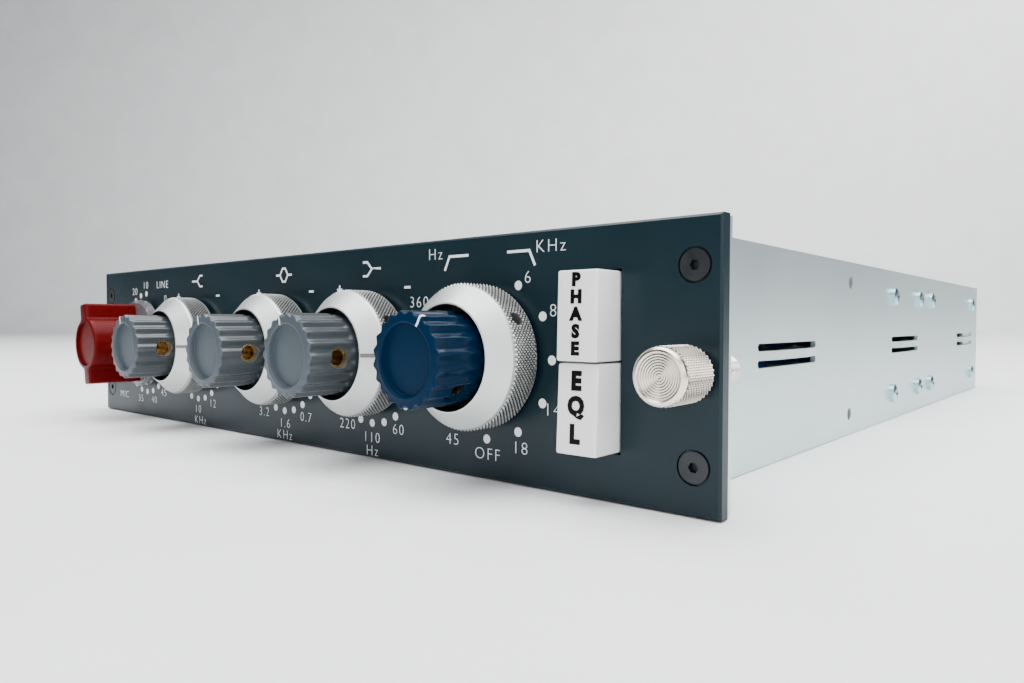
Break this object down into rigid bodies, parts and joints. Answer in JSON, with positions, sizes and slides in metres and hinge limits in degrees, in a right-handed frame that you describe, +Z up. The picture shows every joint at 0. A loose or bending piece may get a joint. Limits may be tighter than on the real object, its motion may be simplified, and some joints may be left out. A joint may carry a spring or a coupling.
{
  "type": "microphone preamp module",
  "caption": "Slim rack module with rotary gain, equaliser and filter controls, two push buttons, a thumbscrew and a plated steel case with a plug at the back.",
  "frame": {"origin": "under the middle of the whole module, on the plane that the panel's lower edge and the case stand on", "axes": "+X along the panel to the right as the user faces it, +Y from the panel into the case, +Z up"},
  "size_m": [0.2222, 0.3272, 0.0457],
  "materials": {
    "panel_paint": "satin stove enamel",
    "zinc_steel": "bright blue zinc plate",
    "blue_zinc": "blue zinc plate",
    "black_steel": "black oxide",
    "plated_steel": "bright nickel plate",
    "spindle_steel": "turned",
    "ring_aluminium": "bead-blasted, clear anodised",
    "grey_plastic": "moulded, satin",
    "blue_plastic": "moulded, satin",
    "red_plastic": "moulded, satin",
    "clear_acrylic": "clear",
    "white_plastic": "moulded, satin",
    "brass": "turned",
    "circuit_board": "green solder mask",
    "phenolic": "moulded",
    "blue_sleeve": "shrink sleeve",
    "screening_can": "grey lacquer",
    "ferrite": "ground",
    "black_plastic": "moulded"
  },
  "bodies": {
    "case": {"front_panel": "panel_paint", "sub_panel": "zinc_steel", "left_rail": "zinc_steel", "right_rail": "zinc_steel", "rear_panel": "zinc_steel", "top_cover": "zinc_steel", "bottom_cover": "zinc_steel", "panel_screws": "black_steel", "cover_screws": "plated_steel", "rail_screws": "blue_zinc", "rear_connector": "black_plastic", "connector_blades": "brass", "connector_screws": "plated_steel", "main_board": "circuit_board", "board_pillars": "plated_steel", "card_sockets": "phenolic", "amplifier_cards": "circuit_board", "card_capacitors": "blue_sleeve", "transformer_tray": "zinc_steel", "small_transformers": "screening_can", "output_transformer": "screening_can", "filter_inductors": "ferrite", "gain_switch": "phenolic", "hf_control": "phenolic", "mf_control": "phenolic", "lf_control": "phenolic", "filter_control": "phenolic", "control_nuts": "plated_steel", "switch_bank": "black_plastic"},
    "gain_control": {"gain_skirt": "clear_acrylic", "gain_knob": "red_plastic", "gain_spindle": "spindle_steel", "gain_knob_screw": "brass"},
    "hf_outer": {"hf_ring": "ring_aluminium", "hf_tube": "spindle_steel"},
    "hf_inner": {"hf_knob": "grey_plastic", "hf_spindle": "spindle_steel", "hf_knob_screw": "brass"},
    "mf_outer": {"mf_ring": "ring_aluminium", "mf_tube": "spindle_steel"},
    "mf_inner": {"mf_knob": "grey_plastic", "mf_spindle": "spindle_steel", "mf_knob_screw": "brass"},
    "lf_outer": {"lf_ring": "ring_aluminium", "lf_tube": "spindle_steel"},
    "lf_inner": {"lf_knob": "grey_plastic", "lf_spindle": "spindle_steel", "lf_knob_screw": "brass"},
    "filter_outer": {"filter_ring": "ring_aluminium", "filter_tube": "spindle_steel"},
    "filter_inner": {"filter_knob": "blue_plastic", "filter_spindle": "spindle_steel", "filter_knob_screw": "brass"},
    "phase_key": {"phase_button": "white_plastic", "phase_plunger": "white_plastic"},
    "eql_key": {"eql_button": "white_plastic", "eql_plunger": "white_plastic"},
    "thumbscrew_clip": {"thumbscrew_clip": "spindle_steel"},
    "thumbscrew": {"thumbscrew": "plated_steel"}
  },
  "joints": [
    {"name": "gain_turn", "type": "hinge", "parent": "case", "child": "gain_control", "pos_m": [-0.0799, -0.1423, 0.02285], "axis": [0, 1, 0], "range_deg": [-150, 150]},
    {"name": "hf_ring_turn", "type": "hinge", "parent": "case", "child": "hf_outer", "pos_m": [-0.047, -0.1423, 0.02285], "axis": [0, 1, 0], "range_deg": [0, 90]},
    {"name": "hf_knob_turn", "type": "hinge", "parent": "case", "child": "hf_inner", "pos_m": [-0.047, -0.1423, 0.02285], "axis": [0, 1, 0], "range_deg": [-133, 167]},
    {"name": "mf_ring_turn", "type": "hinge", "parent": "case", "child": "mf_outer", "pos_m": [-0.0031, -0.1423, 0.02285], "axis": [0, 1, 0], "range_deg": [0, 180]},
    {"name": "mf_knob_turn", "type": "hinge", "parent": "case", "child": "mf_inner", "pos_m": [-0.0031, -0.1423, 0.02285], "axis": [0, 1, 0], "range_deg": [-133, 167]},
    {"name": "lf_ring_turn", "type": "hinge", "parent": "case", "child": "lf_outer", "pos_m": [0.0308, -0.1423, 0.02285], "axis": [0, 1, 0], "range_deg": [0, 120]},
    {"name": "lf_knob_turn", "type": "hinge", "parent": "case", "child": "lf_inner", "pos_m": [0.0308, -0.1423, 0.02285], "axis": [0, 1, 0], "range_deg": [-133, 167]},
    {"name": "filter_ring_turn", "type": "hinge", "parent": "case", "child": "filter_outer", "pos_m": [0.0645, -0.1423, 0.02315], "axis": [0, 1, 0], "range_deg": [-90, 30]},
    {"name": "filter_knob_turn", "type": "hinge", "parent": "case", "child": "filter_inner", "pos_m": [0.0645, -0.1423, 0.02315], "axis": [0, 1, 0], "range_deg": [0, 150]},
    {"name": "phase_press", "type": "slide", "parent": "case", "child": "phase_key", "axis": [0, 1, 0], "range_m": [0, 0.0035], "stiffness_N_per_m": 150},
    {"name": "eql_press", "type": "slide", "parent": "case", "child": "eql_key", "axis": [0, 1, 0], "range_m": [0, 0.0035], "stiffness_N_per_m": 150},
    {"name": "thumbscrew_advance", "type": "slide", "parent": "case", "child": "thumbscrew_clip", "axis": [0, 1, 0], "range_m": [-0.0016, 0.0008]},
    {"name": "thumbscrew_turn", "type": "hinge", "parent": "thumbscrew_clip", "child": "thumbscrew", "pos_m": [0.10668, -0.1423, 0.02185], "axis": [0, 1, 0], "range_deg": [-720, 360]}
  ],
  "couplings": [
    {"joint": "thumbscrew_turn", "follows": "thumbscrew_advance", "rad_per_m": 7854}
  ]
}
